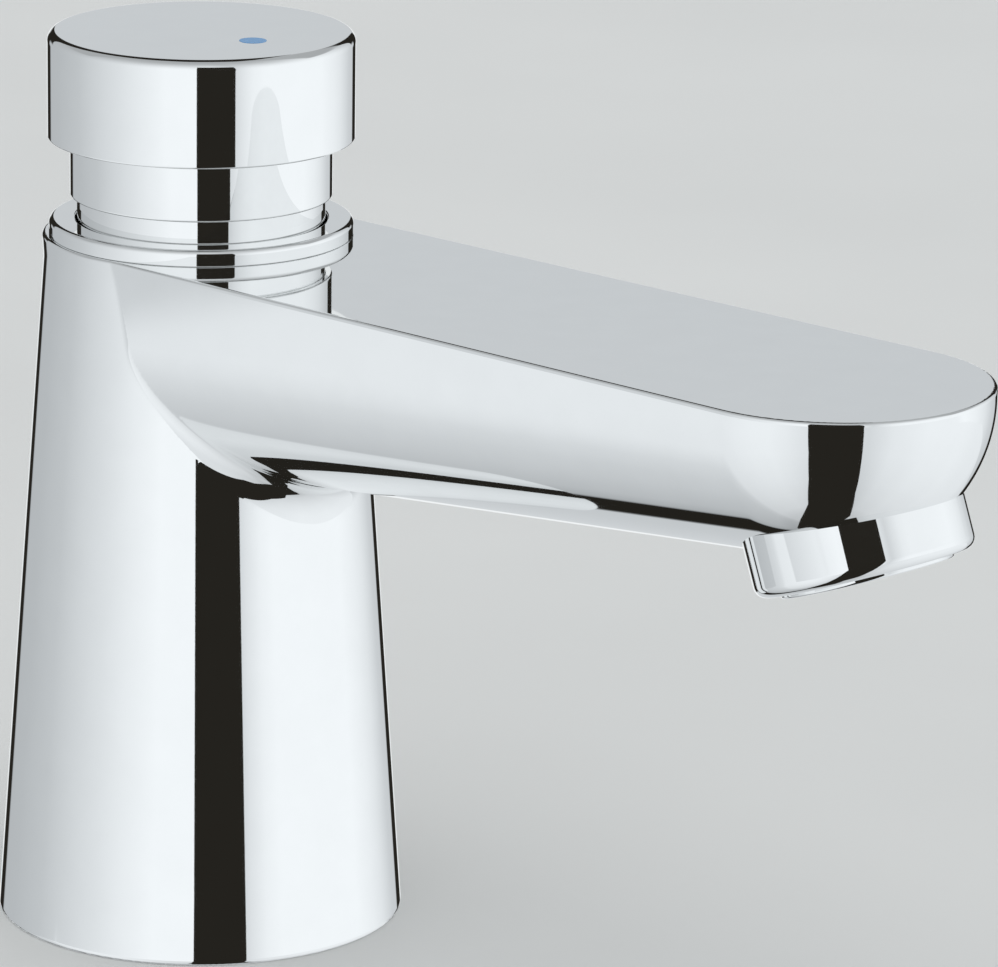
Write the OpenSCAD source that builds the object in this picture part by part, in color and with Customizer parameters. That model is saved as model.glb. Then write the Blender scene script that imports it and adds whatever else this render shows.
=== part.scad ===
// Push timed pillar tap: a self-closing basin tap with a fixed cast spout.
// The origin is the centre of the base on the deck plane. +Z is up and the spout points along -Y.

/* [Pillar] */
// Diameter of the pillar where it stands on the deck
base_d = 50; // [46:0.5:60]
// Height of the pillar top and of the flat spout top above the deck
pillar_h = 85.4; // [84:0.2:110]
// How far the pillar top stands out past each side of the spout
pillar_shoulder = 0.3; // [0.2:0.05:0.8]
// Wall of the casting round the base recess and the spout waterway
cast_wall = 3.4; // [2.6:0.1:4]
// Height of the hollow under the base
recess_h = 26; // [12:1:28]
// Chamfer round the foot of the pillar
foot_chamfer = 0.5; // [0.2:0.1:1]

/* [Spout] */
// Width of the spout
spout_w = 37.2; // [36:0.2:42]
// Distance from the pillar axis to the tip of the spout
spout_reach = 118.2; // [108:0.2:140]
// Height of the straight spout sides at the pillar axis
side_h_root = 10.4; // [8:0.2:13]
// Height of the straight spout sides where the round tip starts
side_h_tip = 1.4; // [0.6:0.2:4]

/* [Outlet] */
// Outer diameter of the outlet collar
outlet_d = 25.4; // [24:0.2:28]
// Distance from the spout tip back to the centre of the outlet mouth
outlet_setback = 12.6; // [11:0.2:15]
// Height of the outlet mouth centre below the spout top
outlet_drop = 21.1; // [20:0.1:24]
// Tilt of the outlet away from the user's side of vertical
outlet_tilt = 20.4; // [10:0.2:25]
// Wall of the outlet collar round the aerator
outlet_wall = 2.7; // [2:0.1:3.2]
// Rounding of the outlet collar's lower edge
outlet_edge = 1.4; // [0.6:0.1:1.8]

/* [Push cap] */
// Height of the push cap
cap_h = 13; // [12:0.2:18]
// Wall of the push cap's skirt
cap_wall = 2.35; // [1.8:0.05:3]
// Thickness of the push cap's top
cap_top = 2; // [1.6:0.1:3]
// Rounding of the push cap's upper edge
cap_edge = 0.7; // [0.3:0.1:1.2]
// Stroke of the push cap from closed to fully open
travel = 6; // [4:0.5:7]
// Height of the cap's skirt above the collar at rest
cap_lift = 9.9; // [8.5:0.1:14]
// Diameter of the cold mark on the cap
mark_d = 3.3; // [2:0.1:5]
// Distance of the cold mark from the middle of the cap
mark_offset = 8.7; // [6:0.1:10]

/* [Collar and guide] */
// Ledge of the pillar top that shows round the collar
collar_ledge = 0.45; // [0.2:0.05:0.9]
// Height of the collar above the pillar
collar_h = 2; // [1.4:0.1:3]
// Rounding of the collar's upper edge
collar_edge = 0.45; // [0.2:0.05:0.8]
// Height of the open neck between the collar and the guide sleeve
neck_show = 2.8; // [1.5:0.1:3.5]
// Wall of the guide sleeve
sleeve_wall = 0.82; // [0.6:0.02:1.2]

/* [Cartridge] */
// Outer radius of the piston rod where it passes the cover
rod_r = 4; // [3.5:0.1:4.4]
// Outer radius of the piston rod below the piston
stem_r = 3; // [2.6:0.1:3.2]
// Height of the timing piston
piston_h = 6; // [5:0.2:8]
// Wire diameter of the return spring
wire_d = 1.2; // [0.8:0.1:1.4]
// Turns of the return spring
spring_turns = 6; // [4:1:7]
// Open height left in the spring at full stroke
spring_spare = 1.6; // [1.2:0.1:3]
// Radius of the water way through the valve seat
seat_bore_r = 4.5; // [4.3:0.1:5]
// Cross-section of the O-rings
o_ring_d = 1.8; // [1.4:0.1:2]

/* [Inlet and deck fixing] */
// Outer diameter of the inlet tail's pipe thread
tail_d = 20.955; // [20.955:G 1/2, 26.441:G 3/4]
// Bore of the inlet tail
tail_bore_d = 13; // [10:0.5:14]
// Length of the inlet tail below the deck
tail_len = 50; // [48:1:70]
// Thickness of the basin deck that the clamp set is shown on
deck_t = 12; // [5:1:18]
// Width across the flats of the back nut
nut_af = 30; // [27:1:34]
// Height of the back nut
nut_h = 8; // [6:0.5:10]

/* [Hidden] */
$fn = 96;

// Clearances, each on the radius or along one axis
thread_gap = 0.05;
press_gap = 0.02;
running_gap = 0.05;
slide_gap = 0.35;
collar_gap = 0.2;
stop_gap = 0.3;
seat_gap = 0.05;
loose_gap = 0.15;
groove_room = 0.3;
// How far a cutting shape runs past the face that it opens
over = 1;

// Colours of the finishes
chrome = "#D5DADD";
brass = "#C8A24E";
steel = "#B4B8BB";
rubber = "#25262A";
white_plastic = "#E6E4DC";
grey_plastic = "#8D9296";
cold_blue = "#6FA0D0";

// Radii that step inward from the pillar top to the cartridge
spout_r = spout_w / 2;
base_r = base_d / 2;
pillar_top_r = spout_r + pillar_shoulder;
pillar_top_wall = 2.1;
counterbore_r = pillar_top_r - pillar_top_wall;
collar_thread_r = counterbore_r - thread_gap;
collar_thread_wall = 1.5;
collar_hole_r = collar_thread_r - collar_thread_wall;
neck_r = collar_hole_r - collar_gap;
neck_wall = 2.5;
sleeve_r = neck_r + press_gap + sleeve_wall;
cap_bore_r = sleeve_r + slide_gap;
cap_r = cap_bore_r + cap_wall;
collar_r = pillar_top_r - collar_ledge;
flange_r = counterbore_r - loose_gap;
shoulder_w = 3.3;
chamber_r = counterbore_r - shoulder_w;
water_jacket = 2;
housing_r = chamber_r - water_jacket;
housing_wall = 2;
cylinder_r = housing_r - housing_wall;
spigot_step = 1.5;
spigot_bore_r = chamber_r - spigot_step;
spigot_r = spigot_bore_r - running_gap;
band_r = chamber_r - running_gap;
band_h = 2.5;

// Heights from the pillar top down through the cartridge
counterbore_depth = 10.4;
gasket_t = 1;
flange_t = 2;
shoulder_z = pillar_h - counterbore_depth;
housing_flange_z = shoulder_z + gasket_t;
cover_z = housing_flange_z + flange_t;
collar_skirt_z = cover_z + flange_t;
cover_plate_t = 4;
piston_rest_gap = 0.5;
piston_top_z = cover_z - piston_rest_gap;
piston_z = piston_top_z - piston_h;
spring_rest_h = travel + (spring_turns + 1) * wire_d + spring_spare;
divider_top_z = piston_z - spring_rest_h;
divider_t = 5;
divider_z = divider_top_z - divider_t;
outlet_room_h = 7;
seat_top_z = divider_z - outlet_room_h;
seat_t = 3;
seat_lip_h = 0.5;
seat_face_z = seat_top_z - seat_t - seat_lip_h;
valve_washer_t = 3;
valve_washer_z = seat_face_z - seat_gap - valve_washer_t;
valve_cup_t = 2.5;
valve_cup_z = valve_washer_z - valve_cup_t;
valve_nut_h = 3.5;
valve_nut_z = valve_cup_z - valve_nut_h;
spigot_skirt = 0.5;
spigot_z = valve_cup_z - spigot_skirt;
chamber_z = seat_top_z + spigot_skirt;
spigot_groove_z = (spigot_z + chamber_z) / 2;

// Heights from the pillar top up through the push cap
collar_top_z = pillar_h + collar_h;
sleeve_z = collar_top_z + neck_show;
cap_z = collar_top_z + cap_lift;
cap_top_z = cap_z + cap_h;
carrier_t = 3.7;
carrier_top_z = cap_top_z - cap_top - running_gap;
carrier_z = carrier_top_z - carrier_t;
neck_top_z = carrier_z - travel - stop_gap;
carrier_boss_h = 6;
carrier_boss_wall = 2.5;
carrier_boss_r = rod_r + carrier_boss_wall;
rod_entry = 0.8;
rod_top_z = carrier_z + rod_entry;
carrier_r = cap_bore_r - press_gap;
mark_depth = 0.6;

// Screw that holds the carrier on the rod
screw_r = 2;
screw_head_r = 3.8;
screw_head_h = 1.4;
screw_len = 9;
screw_key_r = 1.4;
screw_head_z = carrier_top_z - screw_head_h - running_gap;

// Valve parts on the lower end of the rod
stem_thread_depth = 0.5;
stem_thread_r = stem_r - stem_thread_depth;
stem_tail = 0.6;
valve_play = 0.6;
valve_flange_r = seat_bore_r - valve_play;
valve_flange_t = 1.5;
seat_lip_w = 1;
seat_lip_r = seat_bore_r + seat_lip_w;
valve_margin = 1.1;
valve_washer_r = seat_lip_r + valve_margin;
valve_cup_wall = 0.7;
valve_cup_r = valve_washer_r + valve_cup_wall;
valve_cup_rim_h = 1.5;
valve_nut_af = 8;
valve_room = 0.7;
passage_r = valve_cup_r + valve_room;
seat_r = passage_r;
seat_ledge = 1;
outlet_room_r = seat_r - seat_ledge;
port_r = 2.5;
port_count = 6;

// Tapped socket, strainer and washer at the foot of the casting
// Above the relief groove the tail is a little smaller, so that the connector's stretch stands apart
tail_r = tail_d / 2;
shank_step = 0.2;
shank_r = tail_r - shank_step;
socket_r = tail_r + thread_gap;
socket_depth = 14;
socket_wall = 4.5;
tail_washer_t = 1.6;
strainer_rim_t = 0.8;
tail_top_z = socket_depth - tail_washer_t - strainer_rim_t;
strainer_h = 7;
strainer_wall = 0.6;
strainer_play = 1;
strainer_r = passage_r - strainer_play;
strainer_rim_r = shank_r;
strainer_hole_r = 0.9;
strainer_rows = 2;
strainer_holes_round = 10;
boss_r = socket_r + socket_wall;
base_gasket_t = 2.2;
base_rim_w = 1.7;
recess_r = base_r - cast_wall;

// Clamp set under the deck
clamp_gasket_t = 3;
clamp_washer_t = 1.5;
clamp_inset = 4;
clamp_r = base_r - clamp_inset;
washer_inset = 1;
clamp_gasket_z = -deck_t - clamp_gasket_t;
clamp_washer_z = clamp_gasket_z - clamp_washer_t;
back_nut_z = clamp_washer_z - nut_h;
relief_w = 1.5;
relief_depth = 0.8;
tail_chamfer = 1;
// The thread is cut as rings of its pitch
thread_pitch = 25.4 / 14;
thread_depth = 1.16;
crest_share = 0.25;
root_share = 0.2;

// Spout axis, in a frame where the spout points along +X
tip_u = spout_reach - spout_r;
spout_rise = atan((side_h_root - side_h_tip) / tip_u);
tip_run = tip_u / cos(spout_rise);
outlet_u = spout_reach - outlet_setback;
outlet_z = pillar_h - outlet_drop;
outlet_r = outlet_d / 2;
mouth_r = outlet_r - outlet_wall;
mouth_depth = 10;
mouth_ledge = 2.5;
feed_r = mouth_r - mouth_ledge;
feed_depth = 16;
outlet_len = 14;

// Cored waterway inside the spout
core_r = spout_r - cast_wall;
core_start = counterbore_r + cast_wall;
core_setback = 21.5;
core_end = tip_run - core_setback;
window_r = 5;
window_drop = 19;
feed_bore_r = 4.8;
feed_bore_drop = 8.6;

// Aerator stack, measured up from the outlet mouth
aerator_proud = 0.5;
aerator_seal_t = 1.4;
aerator_shell_h = mouth_depth - aerator_seal_t;
aerator_shell_r = mouth_r - thread_gap;
aerator_shell_wall = 1.35;
aerator_lip_w = 0.7;
aerator_lip_h = 0.8;
insert_r = aerator_shell_r - aerator_shell_wall - press_gap;
honeycomb_z = aerator_lip_h - aerator_proud;
honeycomb_t = 4;
limiter_t = 2;
limiter_z = honeycomb_z + honeycomb_t;
limiter_hole_r = 0.8;
limiter_holes = 8;
limiter_margin = 2.4;
screen_z = limiter_z + limiter_t;
screen_sheet = 0.5;
screen_hole_r = 0.5;
screen_pitch = 2;
screen_rings = 2;
cell_pitch = 2.6;
cell_r = 1.25;
cell_rings = 2;

// Return spring coil
spring_inset = 3;
spring_r = cylinder_r - spring_inset;
spring_sides = 6;
spring_rings = 8;

// Seals and the metering pin round the stem and the piston
retainer_t = 1;
retainer_r = spring_r;
seal_pocket_r = stem_r + running_gap + o_ring_d + press_gap;
seal_pocket_z = divider_top_z - retainer_t - o_ring_d - groove_room;
pin_r = 0.5;
pin_gap = 0.1;
pin_standoff = 1.6;
pin_offset = stem_r + pin_standoff;
piston_r = cylinder_r - 2 * running_gap;
seal_bed_depth = 2;
seal_bed_r = cylinder_r - seal_bed_depth;
seal_bed_rise = 1.2;
seal_bed_z = piston_z + seal_bed_rise;
seal_bed_h = 3;
seal_h = seal_bed_h - groove_room;
seal_lip_w = 0.6;

// Turns a child built along +X so that it points at the user, along -Y.
module toward_user() {
    rotate([0, 0, -90])
        children();
}

// Puts a child built up the +Z axis on the tilted axis of the outlet mouth.
module at_outlet() {
    toward_user()
        translate([outlet_u, 0, outlet_z])
            rotate([0, -outlet_tilt, 0])
                children();
}

// Plain ring between two heights.
module ring(r_out, r_in, z_low, z_high) {
    difference() {
        translate([0, 0, z_low])
            cylinder(r = r_out, h = z_high - z_low);
        translate([0, 0, z_low - over])
            cylinder(r = r_in, h = z_high - z_low + 2 * over);
    }
}

// Round bar or hole between two heights.
module bar(r, z_low, z_high) {
    translate([0, 0, z_low])
        cylinder(r = r, h = z_high - z_low);
}

// O-ring of round section lying flat.
module o_ring(r_in, z_mid) {
    rotate_extrude()
        translate([r_in + o_ring_d / 2, z_mid])
            circle(d = o_ring_d);
}

// Half outline of a disc with a rounded upper edge.
module round_top_outline(r, h, edge) {
    union() {
        square([r, h - edge]);
        square([r - edge, h]);
        translate([r - edge, h - edge])
            circle(r = edge);
    }
}

// Section of the spout: half round below its axis, straight sides above.
module trough_section(r) {
    union() {
        intersection() {
            circle(r = r);
            translate([-r, -r])
                square([2 * r, r]);
        }
        translate([-r, 0])
            square([2 * r, side_h_root + over]);
    }
}

// Half of the same section, for the round tip.
module half_trough_section(r) {
    union() {
        intersection() {
            circle(r = r);
            translate([0, -r])
                square([r, r]);
        }
        square([r, side_h_root + over]);
    }
}

// Spout body or its core: a trough along the rising axis with a round tip and a level top.
module spout_form(r, run_from, run_to, top_z) {
    difference() {
        translate([0, 0, pillar_h - side_h_root])
            rotate([0, -spout_rise, 0])
                union() {
                    translate([run_from, 0, 0])
                        rotate([90, 0, 90])
                            linear_extrude(height = run_to - run_from)
                                trough_section(r);
                    translate([run_to, 0, 0])
                        rotate([0, 0, -90])
                            rotate_extrude(angle = 180)
                                half_trough_section(r);
                }
        translate([-spout_reach, -spout_w, top_z])
            cube([3 * spout_reach, 2 * spout_w, pillar_h]);
    }
}

// Cast pillar with its hollow foot, before the bores.
module pillar() {
    rotate_extrude()
        polygon([
            [0, 0],
            [base_r - foot_chamfer, 0],
            [base_r, foot_chamfer],
            [pillar_top_r, pillar_h],
            [0, pillar_h]
        ]);
}

// Outlet collar with a rounded lower edge, standing up into the spout.
module outlet_collar() {
    translate([0, 0, outlet_len])
        mirror([0, 0, 1])
            rotate_extrude()
                round_top_outline(outlet_r, outlet_len, outlet_edge);
}

// Hollow under the base, round the inlet socket, with a ledge for the base gasket.
module foot_recess() {
    taper = (base_r - pillar_top_r) / pillar_h;
    ring(base_r - base_rim_w, boss_r, -over, base_gasket_t);
    rotate_extrude()
        polygon([
            [boss_r, base_gasket_t - over],
            [recess_r, base_gasket_t - over],
            [recess_r - taper * recess_h, recess_h],
            [boss_r, recess_h]
        ]);
}

// All water ways and seats that are cut from the casting.
module body_bores() {
    bar(socket_r, -over, socket_depth);
    bar(passage_r, socket_depth - over, spigot_z + over);
    bar(spigot_bore_r, spigot_z, chamber_z + over);
    bar(chamber_r, chamber_z, shoulder_z + over);
    bar(counterbore_r, shoulder_z, pillar_h + over);
    foot_recess();
    toward_user() {
        spout_form(core_r, core_start, core_end, pillar_h - cast_wall);
        translate([0, 0, pillar_h - window_drop])
            rotate([0, 90 - spout_rise, 0])
                cylinder(r = window_r, h = core_start + window_r);
        translate([core_end, 0, pillar_h - feed_bore_drop])
            rotate([0, 90, 0])
                cylinder(r = feed_bore_r, h = outlet_u - core_end - feed_r);
    }
    at_outlet() {
        bar(mouth_r, -over, mouth_depth);
        bar(feed_r, mouth_depth - over, feed_depth);
    }
}

module tap_body() {
    color(chrome)
        difference() {
            union() {
                pillar();
                toward_user()
                    spout_form(spout_r, 0, tip_run, pillar_h);
                at_outlet()
                    outlet_collar();
            }
            body_bores();
        }
}

module collar() {
    color(chrome)
        difference() {
            union() {
                translate([0, 0, pillar_h])
                    rotate_extrude()
                        round_top_outline(collar_r, collar_h, collar_edge);
                bar(collar_thread_r, collar_skirt_z, pillar_h + over);
            }
            bar(collar_hole_r, collar_skirt_z - over, collar_top_z + over);
        }
}

module cartridge_cover() {
    groove_mid_z = cover_z + cover_plate_t / 2;
    groove_h = o_ring_d + groove_room;
    groove_r = rod_r + running_gap + o_ring_d + press_gap;
    color(chrome)
        difference() {
            union() {
                bar(flange_r, cover_z, collar_skirt_z);
                bar(neck_r, cover_z, neck_top_z);
            }
            bar(neck_r - neck_wall, cover_z + cover_plate_t, neck_top_z + over);
            bar(rod_r + running_gap, cover_z - over, cover_z + cover_plate_t + over);
            bar(groove_r, groove_mid_z - groove_h / 2, groove_mid_z + groove_h / 2);
        }
}

module guide_sleeve() {
    color(chrome)
        ring(sleeve_r, neck_r + press_gap, sleeve_z, neck_top_z);
}

module cartridge_housing() {
    groove_low_z = spigot_groove_z - (o_ring_d + groove_room) / 2;
    groove_r = spigot_r - o_ring_d - press_gap;
    color(brass)
        difference() {
            union() {
                bar(spigot_r, spigot_z, chamber_z);
                bar(housing_r, spigot_z, cover_z);
                bar(band_r, shoulder_z - band_h, shoulder_z);
                bar(flange_r, housing_flange_z, cover_z);
            }
            bar(seat_r + press_gap, spigot_z - over, seat_top_z);
            bar(outlet_room_r, seat_top_z - over, divider_z);
            bar(stem_r + loose_gap, divider_z - over, divider_top_z);
            bar(seal_pocket_r, seal_pocket_z, divider_top_z);
            bar(retainer_r, divider_top_z - retainer_t, divider_top_z + over);
            bar(cylinder_r, divider_top_z, cover_z + over);
            ring(spigot_r + over, groove_r, groove_low_z, groove_low_z + o_ring_d + groove_room);
            for (i = [0 : port_count - 1])
                translate([0, 0, divider_z - outlet_room_h / 2])
                    rotate([90, 0, 360 * i / port_count])
                        cylinder(r = port_r, h = housing_r + over);
        }
}

module cartridge_gasket() {
    color(rubber)
        ring(flange_r, chamber_r + loose_gap, shoulder_z, housing_flange_z);
}

module cartridge_o_ring() {
    color(rubber)
        o_ring(spigot_r - o_ring_d, spigot_groove_z);
}

module valve_seat() {
    color(steel)
        difference() {
            union() {
                bar(seat_r, seat_top_z - seat_t, seat_top_z);
                bar(seat_lip_r, seat_face_z, seat_top_z);
            }
            bar(seat_bore_r, seat_face_z - over, seat_top_z + over);
        }
}

module stem_o_ring() {
    color(rubber)
        o_ring(stem_r + running_gap, divider_top_z - retainer_t - o_ring_d / 2 - press_gap);
}

module seal_retainer() {
    color(white_plastic)
        difference() {
            ring(retainer_r - press_gap, stem_r + loose_gap, divider_top_z - retainer_t, divider_top_z);
            translate([pin_offset, 0, divider_top_z - retainer_t - over])
                cylinder(r = pin_r + press_gap, h = retainer_t + 2 * over);
        }
}

module rod_o_ring() {
    color(rubber)
        o_ring(rod_r + running_gap, cover_z + cover_plate_t / 2);
}

// Wire that stays in the piston's bleed hole and keeps it clear.
module metering_pin() {
    color(steel)
        translate([pin_offset, 0, 0])
            bar(pin_r, divider_top_z - retainer_t, piston_top_z - piston_rest_gap);
}

// Round bar with its thread cut as rings, a full crest at each end.
module threaded_bar(r, z_low, z_high) {
    crest = thread_pitch * crest_share;
    mouth = thread_pitch - crest;
    root = thread_pitch * root_share;
    count = floor((z_high - z_low - crest) / thread_pitch);
    grooves = [
        for (i = [0 : count - 1])
            let (z = z_low + crest + i * thread_pitch)
            each [
                [r, z],
                [r - thread_depth, z + (mouth - root) / 2],
                [r - thread_depth, z + (mouth + root) / 2],
                [r, z + mouth]
            ]
    ];
    rotate_extrude()
        polygon(concat([[0, z_low], [r, z_low]], grooves, [[r, z_high], [0, z_high]]));
}

module inlet_tail() {
    relief_top_z = back_nut_z - relief_w;
    relief_low_z = relief_top_z - relief_w;
    color(brass)
        difference() {
            union() {
                translate([0, 0, -tail_len])
                    cylinder(r1 = tail_r - tail_chamfer, r2 = tail_r, h = tail_chamfer);
                threaded_bar(tail_r, -tail_len + tail_chamfer, relief_low_z);
                bar(tail_r - relief_depth, relief_low_z, relief_top_z);
                threaded_bar(shank_r, relief_top_z, tail_top_z);
            }
            bar(tail_bore_d / 2, -tail_len - over, tail_top_z + over);
        }
}

module inlet_strainer() {
    dome_z = tail_top_z + strainer_rim_t;
    color(steel)
        difference() {
            union() {
                bar(strainer_rim_r, tail_top_z, dome_z);
                bar(strainer_r, tail_top_z, dome_z + strainer_h);
            }
            bar(strainer_r - strainer_wall, tail_top_z - over, dome_z + strainer_h - strainer_wall);
            for (row = [1 : strainer_rows])
                for (i = [0 : strainer_holes_round - 1])
                    translate([0, 0, dome_z + row * strainer_h / (strainer_rows + 1)])
                        rotate([90, 0, 360 * i / strainer_holes_round])
                            cylinder(r = strainer_hole_r, h = strainer_r + over);
        }
}

module tail_washer() {
    color(rubber)
        ring(strainer_rim_r, passage_r, socket_depth - tail_washer_t, socket_depth);
}

module base_gasket() {
    color(rubber)
        ring(base_r - base_rim_w - loose_gap, boss_r + loose_gap, 0, base_gasket_t);
}

module clamp_gasket() {
    color(rubber)
        ring(clamp_r, tail_r + thread_gap, clamp_gasket_z, -deck_t);
}

module clamp_washer() {
    color(steel)
        ring(clamp_r - washer_inset, tail_r + thread_gap, clamp_washer_z, clamp_gasket_z);
}

module back_nut() {
    corner_r = nut_af / 2 / cos(30);
    bevel = corner_r - nut_af / 2;
    color(brass)
        difference() {
            intersection() {
                translate([0, 0, back_nut_z])
                    cylinder(r = corner_r, h = nut_h, $fn = 6);
                translate([0, 0, back_nut_z])
                    cylinder(r1 = corner_r - bevel, r2 = corner_r + 3 * bevel, h = nut_h);
            }
            bar(tail_r + thread_gap, back_nut_z - over, clamp_washer_z + over);
        }
}

module aerator_shell() {
    bore_r = aerator_shell_r - aerator_shell_wall;
    color(chrome)
        at_outlet()
            difference() {
                bar(aerator_shell_r, -aerator_proud, aerator_shell_h);
                bar(bore_r - aerator_lip_w, -aerator_proud - over, aerator_shell_h + over);
                bar(bore_r, honeycomb_z, aerator_shell_h + over);
            }
}

// Hexagonal stream straightener that shows in the mouth.
module aerator_honeycomb() {
    color(white_plastic)
        at_outlet()
            difference() {
                bar(insert_r, honeycomb_z, limiter_z);
                for (row = [-cell_rings : cell_rings])
                    for (col = [-cell_rings : cell_rings])
                        if (abs(row + col) <= cell_rings)
                            translate([
                                cell_pitch * (col + row / 2),
                                cell_pitch * row * sin(60),
                                honeycomb_z - over
                            ])
                                rotate([0, 0, 30])
                                    cylinder(r = cell_r, h = honeycomb_t + 2 * over, $fn = 6);
            }
}

module flow_limiter() {
    color(grey_plastic)
        at_outlet()
            difference() {
                bar(insert_r, limiter_z, screen_z);
                for (i = [0 : limiter_holes - 1])
                    rotate([0, 0, 360 * i / limiter_holes])
                        translate([insert_r - limiter_margin, 0, limiter_z - over])
                            cylinder(r = limiter_hole_r, h = limiter_t + 2 * over);
            }
}

module aerator_screen() {
    color(steel)
        at_outlet()
            difference() {
                bar(insert_r, screen_z, aerator_shell_h);
                bar(insert_r - screen_sheet, screen_z - over, aerator_shell_h - screen_sheet);
                for (ring_i = [1 : screen_rings])
                    for (i = [0 : 6 * ring_i - 1])
                        rotate([0, 0, 60 * i / ring_i])
                            translate([screen_pitch * ring_i, 0, screen_z])
                                cylinder(r = screen_hole_r, h = aerator_shell_h - screen_z + over);
            }
}

module aerator_seal() {
    color(rubber)
        at_outlet()
            ring(mouth_r - loose_gap, feed_r, aerator_shell_h, mouth_depth);
}

module push_cap() {
    color(chrome)
        difference() {
            translate([0, 0, cap_z])
                rotate_extrude()
                    round_top_outline(cap_r, cap_h, cap_edge);
            bar(cap_bore_r, cap_z - over, cap_top_z - cap_top);
            translate([0, -mark_offset, 0])
                bar(mark_d / 2 + press_gap, cap_top_z - mark_depth, cap_top_z + over);
        }
}

module cold_mark() {
    color(cold_blue)
        translate([0, -mark_offset, 0])
            bar(mark_d / 2, cap_top_z - mark_depth, cap_top_z);
}

module cap_carrier() {
    color(white_plastic)
        difference() {
            union() {
                bar(carrier_r, carrier_z, carrier_top_z);
                bar(carrier_boss_r, carrier_z - carrier_boss_h, carrier_top_z);
            }
            bar(rod_r + thread_gap, carrier_z - carrier_boss_h - over, rod_top_z);
            bar(screw_r + loose_gap, rod_top_z - over, carrier_top_z + over);
            bar(screw_head_r + loose_gap, screw_head_z, carrier_top_z + over);
        }
}

module cap_screw() {
    color(steel)
        difference() {
            union() {
                bar(screw_r - thread_gap, screw_head_z - screw_len, screw_head_z + over);
                bar(screw_head_r, screw_head_z, screw_head_z + screw_head_h);
            }
            translate([0, 0, screw_head_z + screw_head_h / 3])
                cylinder(r = screw_key_r, h = screw_head_h, $fn = 6);
        }
}

module push_rod() {
    washer_top_z = valve_washer_z + valve_washer_t;
    tap_end_z = screw_head_z - screw_len - over;
    color(brass)
        difference() {
            union() {
                bar(stem_thread_r, valve_nut_z - stem_tail, washer_top_z + over);
                bar(valve_flange_r, washer_top_z, washer_top_z + valve_flange_t);
                bar(stem_r, washer_top_z, piston_top_z + over);
                bar(rod_r, piston_top_z, rod_top_z);
            }
            bar(screw_r, tap_end_z, rod_top_z + over);
        }
}

module timing_piston() {
    color(white_plastic)
        difference() {
            bar(piston_r, piston_z, piston_top_z);
            bar(stem_r + running_gap, piston_z - over, piston_top_z + over);
            ring(cylinder_r + over, seal_bed_r, seal_bed_z, seal_bed_z + seal_bed_h);
            translate([pin_offset, 0, 0])
                bar(pin_r + pin_gap, piston_z - over, piston_top_z + over);
        }
}

// Lip seal that lets water past on the push and holds it on the return.
module piston_seal() {
    seal_z = seal_bed_z + groove_room / 2;
    outer_r = cylinder_r - running_gap;
    inner_r = seal_bed_r + press_gap;
    color(rubber)
        difference() {
            ring(outer_r, inner_r, seal_z, seal_z + seal_h);
            ring(outer_r - seal_lip_w, inner_r + seal_lip_w, seal_z + seal_h / 2, seal_z + seal_h + over);
        }
}

module valve_washer() {
    color(rubber)
        ring(valve_washer_r, stem_thread_r + running_gap, valve_washer_z, valve_washer_z + valve_washer_t);
}

module valve_cup() {
    color(brass)
        difference() {
            bar(valve_cup_r, valve_cup_z, valve_washer_z + valve_cup_rim_h);
            bar(valve_washer_r + press_gap, valve_washer_z, valve_washer_z + valve_cup_rim_h + over);
            bar(stem_thread_r + running_gap, valve_cup_z - over, valve_washer_z + over);
        }
}

module valve_nut() {
    color(brass)
        difference() {
            translate([0, 0, valve_nut_z])
                cylinder(r = valve_nut_af / 2 / cos(30), h = valve_nut_h, $fn = 6);
            bar(stem_thread_r + thread_gap, valve_nut_z - over, valve_cup_z + over);
        }
}

// Centre line of the return spring at a share of its length from 0 to 1.
function coil_low() = divider_top_z + wire_d / 2 + running_gap;
function coil_high() = piston_z - wire_d / 2 - running_gap;
function coil_point(share) =
    let (turn = 360 * spring_turns * share)
    [
        spring_r * cos(turn),
        spring_r * sin(turn),
        coil_low() + (coil_high() - coil_low()) * share
    ];

// One corner of the wire's section, in the upright plane through the tap axis.
function wire_corner(share, side) =
    let (
        turn = 360 * spring_turns * share,
        around = 360 * side / spring_sides,
        reach = spring_r + wire_d / 2 * cos(around)
    )
    [
        reach * cos(turn),
        reach * sin(turn),
        coil_point(share)[2] + wire_d / 2 * sin(around)
    ];

module return_spring() {
    ring_count = spring_turns * spring_rings;
    corners = [
        for (i = [0 : ring_count])
            for (side = [0 : spring_sides - 1])
                wire_corner(i / ring_count, side)
    ];
    walls = [
        for (i = [0 : ring_count - 1])
            for (side = [0 : spring_sides - 1])
                let (
                    a = i * spring_sides + side,
                    b = i * spring_sides + (side + 1) % spring_sides
                )
                each [[a, a + spring_sides, b], [b, a + spring_sides, b + spring_sides]]
    ];
    first_end = [for (side = [1 : spring_sides - 2]) [0, side, side + 1]];
    last = ring_count * spring_sides;
    last_end = [for (side = [1 : spring_sides - 2]) [last, last + side + 1, last + side]];
    turn_gaps = [
        for (i = [0 : ring_count - spring_rings])
            norm(coil_point((i + spring_rings) / ring_count) - coil_point(i / ring_count)) - wire_d
    ];
    echo(least_spring_gap_mm = min(turn_gaps));
    color(steel)
        polyhedron(points = corners, faces = concat(walls, first_end, last_end));
}

tap_body();
collar();
cartridge_cover();
guide_sleeve();
cartridge_housing();
cartridge_gasket();
cartridge_o_ring();
valve_seat();
stem_o_ring();
seal_retainer();
rod_o_ring();
metering_pin();
inlet_tail();
inlet_strainer();
tail_washer();
base_gasket();
clamp_gasket();
clamp_washer();
back_nut();
aerator_shell();
aerator_honeycomb();
flow_limiter();
aerator_screen();
aerator_seal();
push_cap();
cold_mark();
cap_carrier();
cap_screw();
push_rod();
timing_piston();
piston_seal();
valve_washer();
valve_cup();
valve_nut();
return_spring();
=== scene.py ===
import math

import bpy
import numpy as np
from mathutils import Matrix, Vector


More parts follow.
